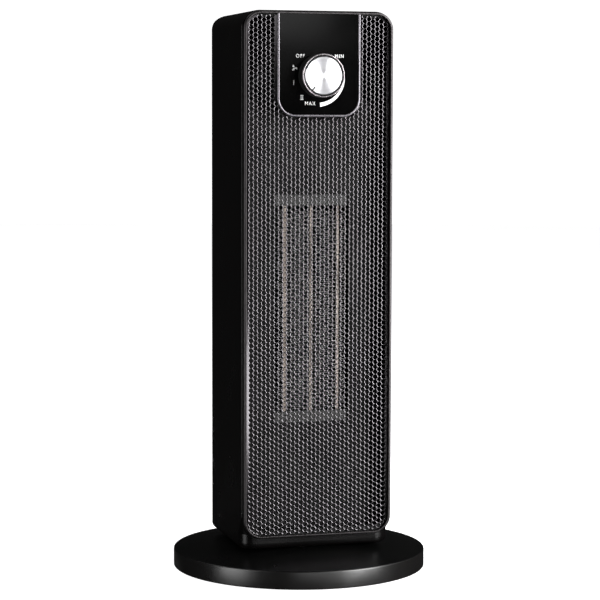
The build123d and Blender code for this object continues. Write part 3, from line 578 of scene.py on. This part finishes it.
def knob_disc(radius, front, back):
    """Turned aluminium disc with a bright chamfer and a milled pointer slot running in from its edge."""
    slot_in, slot_half, slot_depth, chamfer = 13.4, 0.75, 0.6, 0.6
    angle = math.radians(-129)
    segments = 180
    half_turn = math.asin(slot_half / radius)
    start = angle + half_turn
    sweep = 2 * math.pi - 2 * half_turn
    rim = [start + sweep * i / segments for i in range(segments + 1)]
    along = Vector((math.cos(angle), math.sin(angle)))
    across = Vector((-along.y, along.x))

    def slot_side(side, r):
        return along * math.sqrt(r * r - slot_half ** 2) + across * side * slot_half

    def plan(r):
        loop = [Vector((r * math.cos(a), r * math.sin(a))) for a in rim[1:-1]]
        loop = [slot_side(1, r)] + loop + [slot_side(-1, r)]
        end = slot_in + slot_half
        turn = [along * (end - slot_half * math.cos(t)) + across * slot_half * math.sin(t)
                for t in (math.pi * (-0.5 + k / 6) for k in range(7))]
        return loop + turn

    inner, outer = plan(radius - chamfer), plan(radius)
    flat = [knob_place(p.x, p.y, front) for p in inner]
    bevel = [knob_place(p.x, p.y, front - chamfer) for p in outer]
    low = [knob_place(p.x, p.y, back) for p in outer]
    points, faces = loft([flat, bevel, low])
    count = len(flat)
    faces.append(tuple(range(count)))
    faces.append(tuple(range(2 * count, 3 * count)))
    slot_points, slot_faces = slot_floor(plan(radius - 0.01), segments, front - slot_depth, back)
    faces += [tuple(i + len(points) for i in face) for face in slot_faces]
    points += slot_points
    disc = mesh_object("knob_disc", points, faces, 30)
    place_piece(disc, "knob", "spun_aluminium", FINISHES["spun_aluminium"], "knob_face")
    disc.data.materials.append(FINISHES["frame_black"])
    walls = [k for band in (0, count) for k in range(band + segments, band + count)]
    for k in walls + list(range(len(faces) - len(slot_faces), len(faces))):
        disc.data.polygons[k].material_index = 1


def slot_floor(loop, segments, top, back):
    """Closed block that fills the slot below its milled floor."""
    plan = loop[segments:] + [loop[0]]
    upper = [knob_place(p.x, p.y, top) for p in plan]
    lower = [knob_place(p.x, p.y, back) for p in plan]
    return loft([upper, lower], caps=True)


# ------------------------------------------------------------------ heating element

FOLD_PITCH = 1.9
FOIL = 0.16
FIN_END_GAP = 0.5
STRIP_W = 3.0
STRIP_SPACING = 26.6


def folded_fins():
    """Corrugated aluminium fins between the heating strips: a thin foil folded up the whole height."""
    x0, y0, z0, x1, y1, z1 = box_mm("fin_banks")
    strips = (-STRIP_SPACING, 0.0, STRIP_SPACING)
    edges = [x0] + [x + side * STRIP_W / 2 for x in strips for side in (-1, 1)] + [x1]
    folds = int((z1 - z0 - 2 * FIN_END_GAP) / FOLD_PITCH)
    points, faces = [], []
    for left, right in zip(edges[::2], edges[1::2]):
        line = [(right - FOIL if i % 2 else left + FOIL, z0 + FIN_END_GAP + i * FOLD_PITCH)
                for i in range(folds + 1)]
        for (xa, za), (xb, zb) in zip(line, line[1:]):
            slope = Vector((xb - xa, zb - za)).normalized()
            side = Vector((-slope.y, slope.x)) * FOIL / 2
            corners = [(xa - side.x, za - side.y), (xb - side.x, zb - side.y),
                       (xb + side.x, zb + side.y), (xa + side.x, za + side.y)]
            front = [(x * MM, y0 * MM, z * MM) for x, z in corners]
            rear = [(x * MM, y1 * MM, z * MM) for x, z in corners]
            p, f = loft([front, rear], caps=True)
            faces += [tuple(i + len(points) for i in face) for face in f]
            points += p
    piece = mesh_object("folded_fins", points, faces)
    place_piece(piece, "tower", "fin_aluminium", FINISHES["fin_aluminium"], "fin_banks")


# ------------------------------------------------------------------ printed marks

MARK_Y = box_mm("control_panel")[1]
INK = 0.05
MARK_HEIGHT = 4.9
MARK_SPACING = 1.25
MARK_NARROWING = 0.9
WORDS = {
    "mark_off": ("OFF", -18.7, 18.6),
    "mark_low": ("MIN", 20.1, 18.7),
    "mark_high": ("MAX", -8.9, -26.4),
}


def flat_mark(name, outline_faces):
    """Ink of even thickness on the panel from polygons of (x, z) measured from the knob's axis."""
    points, faces = [], []
    for polygon in outline_faces:
        front = [(x, MARK_Y - INK, z) for x, z in polygon]
        back = [(x, MARK_Y + INK, z) for x, z in polygon]
        moved = [[(KNOB_CENTRE[0] + x * MM, y * MM, KNOB_CENTRE[2] + z * MM) for x, y, z in loop]
                 for loop in (front, back)]
        p, f = loft(moved, caps=True)
        faces += [tuple(i + len(points) for i in face) for face in f]
        points += p
    piece = mesh_object(name, points, faces)
    place_piece(piece, "tower", "rim_silver", PRINT_WHITE)


def word_mark(name, text, x, z):
    letters = bpy.data.curves.new(name, "FONT")
    letters.body = text
    letters.size = MARK_HEIGHT * MM
    letters.space_character = MARK_SPACING
    letters.align_x = "CENTER"
    letters.align_y = "CENTER"
    letters.extrude = INK * MM
    piece = bpy.data.objects.new(name, letters)
    piece.location = (KNOB_CENTRE[0] + x * MM, MARK_Y * MM, KNOB_CENTRE[2] + z * MM)
    piece.rotation_euler = (math.pi / 2, 0, 0)
    piece.scale = (MARK_NARROWING, 1, 1)
    bpy.context.scene.collection.objects.link(piece)
    place_piece(piece, "tower", "rim_silver", PRINT_WHITE)


def power_sweep():
    """Crescent from low to high heat, thin at the top right and thickening clockwise."""
    steps = 40
    inner, outer = [], []
    for i in range(steps + 1):
        t = i / steps
        a = math.radians(40 - 128 * t)
        middle = 23.3 + 4.0 * t
        half = 0.2 + 1.7 * t
        inner.append(((middle - half) * math.cos(a), (middle - half) * math.sin(a)))
        outer.append(((middle + half) * math.cos(a), (middle + half) * math.sin(a)))
    return [[inner[i], outer[i], outer[i + 1], inner[i + 1]] for i in range(steps)]


def bar(x, z, width, height):
    w, h = width / 2, height / 2
    return [(x - w, z - h), (x + w, z - h), (x + w, z + h), (x - w, z + h)]


def numeral_one():
    return [bar(-25.2, -6.4, 0.8, 4.3)]


def numeral_two():
    x, z = -17.0, -20.6
    posts = [bar(x + side * 0.8, z, 0.45, 3.6) for side in (-1, 1)]
    return posts + [bar(x, z + side * 2.0, 2.9, 0.4) for side in (-1, 1)]


def fan_symbol():
    """Small three-bladed fan."""
    blade = [(0.2, 0.1), (0.8, 1.1), (1.9, 1.5), (2.9, 0.9), (2.9, -0.3), (1.9, -0.2), (0.9, -0.4)]
    cx, cz = -24.6, 7.3
    blades = []
    for k in range(3):
        turn = math.radians(100 + 120 * k)
        blades.append([(cx + x * math.cos(turn) - z * math.sin(turn),
                        cz + x * math.sin(turn) + z * math.cos(turn)) for x, z in blade])
    return blades


# ------------------------------------------------------------------ camera, stage, light

CAMERA_AZIMUTH = -15.9
CAMERA_ELEVATION = 4.86
CAMERA_ROLL = 0.15
CAMERA_DISTANCE = 2.105
CAMERA_TARGET = (0.0006, 0.0, 0.2652)
CAMERA_LENS = 127.3
STAGE_R = 7.0


def direction(azimuth, elevation):
    """Unit vector; azimuth 0 is in front of the grille and grows to the viewer's right, in degrees."""
    a, e = math.radians(azimuth), math.radians(elevation)
    return Vector((math.sin(a) * math.cos(e), -math.cos(a) * math.cos(e), math.sin(e)))


def add_camera():
    back = direction(CAMERA_AZIMUTH, CAMERA_ELEVATION)
    right = Vector((0, 0, 1)).cross(back).normalized()
    up = back.cross(right)
    roll = math.radians(CAMERA_ROLL)
    right, up = right * math.cos(roll) + up * math.sin(roll), up * math.cos(roll) - right * math.sin(roll)
    camera = bpy.data.objects.new("camera", bpy.data.cameras.new("camera"))
    camera.data.lens = CAMERA_LENS
    camera.data.sensor_width = 36
    camera.data.clip_end = 50
    axes = Matrix((right, up, back)).transposed().to_4x4()
    camera.matrix_world = Matrix.Translation(Vector(CAMERA_TARGET) + back * CAMERA_DISTANCE) @ axes
    bpy.context.scene.collection.objects.link(camera)
    bpy.context.scene.camera = camera


def soft_light(name, azimuth, elevation, distance, size, radiance, aim=(0, 0, 0.27)):
    """Rectangular soft box that faces aim, as bright as radiance says whatever its size."""
    light = bpy.data.objects.new(name, bpy.data.lights.new(name, "AREA"))
    light.data.shape = "RECTANGLE"
    light.data.size, light.data.size_y = size
    light.data.energy = radiance * math.pi * size[0] * size[1]
    away = direction(azimuth, elevation)
    light.location = Vector(aim) + away * distance
    light.rotation_euler = away.to_track_quat("Z", "Y").to_euler()
    bpy.context.scene.collection.objects.link(light)


def add_lights():
    world = bpy.data.worlds.new("studio")
    world.use_nodes = True
    world.node_tree.nodes["Background"].inputs["Color"].default_value = (0.012, 0.012, 0.012, 1)
    bpy.context.scene.world = world
    soft_light("box_right", 43, 12, 2.0, (1.05, 1.7), 18.0)
    soft_light("box_left", -75, 5, 2.0, (0.9, 1.8), 5.5)
    soft_light("low_strip", 0, -10, 2.0, (1.2, 0.2), 4.5)
    soft_light("low_strip_right", 34, -10, 2.0, (0.6, 0.24), 14.0)
    soft_light("high_right", 75, 42, 2.0, (0.8, 0.8), 7.0)
    soft_light("card", 4.2, 14, 2.4, (1.05, 1.0), 0.95, aim=(0, 0, 0.52))
    soft_light("box_rear_right", 108, 55, 2.6, (1.2, 1.2), 1.5)
    soft_light("box_rear_left", -135, 55, 2.6, (1.2, 1.2), 2.5)
    soft_light("low_strip_rear", 172, -30, 2.2, (1.5, 0.5), 4.0)


def add_stage():
    """Pale floor and surround. The gloss mirrors neither of them, and shows the soft boxes alone."""
    steps = 96
    disc = [(STAGE_R * math.cos(2 * math.pi * i / steps), STAGE_R * math.sin(2 * math.pi * i / steps), 0.0)
            for i in range(steps)]
    floor = mesh_object("floor", disc, [tuple(range(steps))])
    rings = [[(r * math.cos(2 * math.pi * i / steps), r * math.sin(2 * math.pi * i / steps), z)
              for i in range(steps)] for r, z in arc(0.0, 0.0, STAGE_R, 0, 85, 20)]
    surround = mesh_object("surround", *loft(rings, caps=True), smooth_below=60)
    floor.data.materials.append(studio_paper("floor_paper", 0.8, 0.9))
    surround.data.materials.append(studio_paper("surround_paper", 0.8, 1.0))
    for piece in (floor, surround):
        piece.visible_glossy = False
        piece.visible_diffuse = False
        piece.visible_shadow = False


# ------------------------------------------------------------------ build

dress_cad_nodes()
front_mesh()
bezel()
panel_rim()
foot_shell()
knob()
folded_fins()
for name, (text, x, z) in WORDS.items():
    word_mark(name, text, x, z)
flat_mark("mark_sweep", power_sweep())
flat_mark("mark_fan", fan_symbol())
flat_mark("mark_one", numeral_one())
flat_mark("mark_two", numeral_two())
add_camera()
add_stage()
add_lights()
bpy.context.scene.view_settings.view_transform = "Standard"
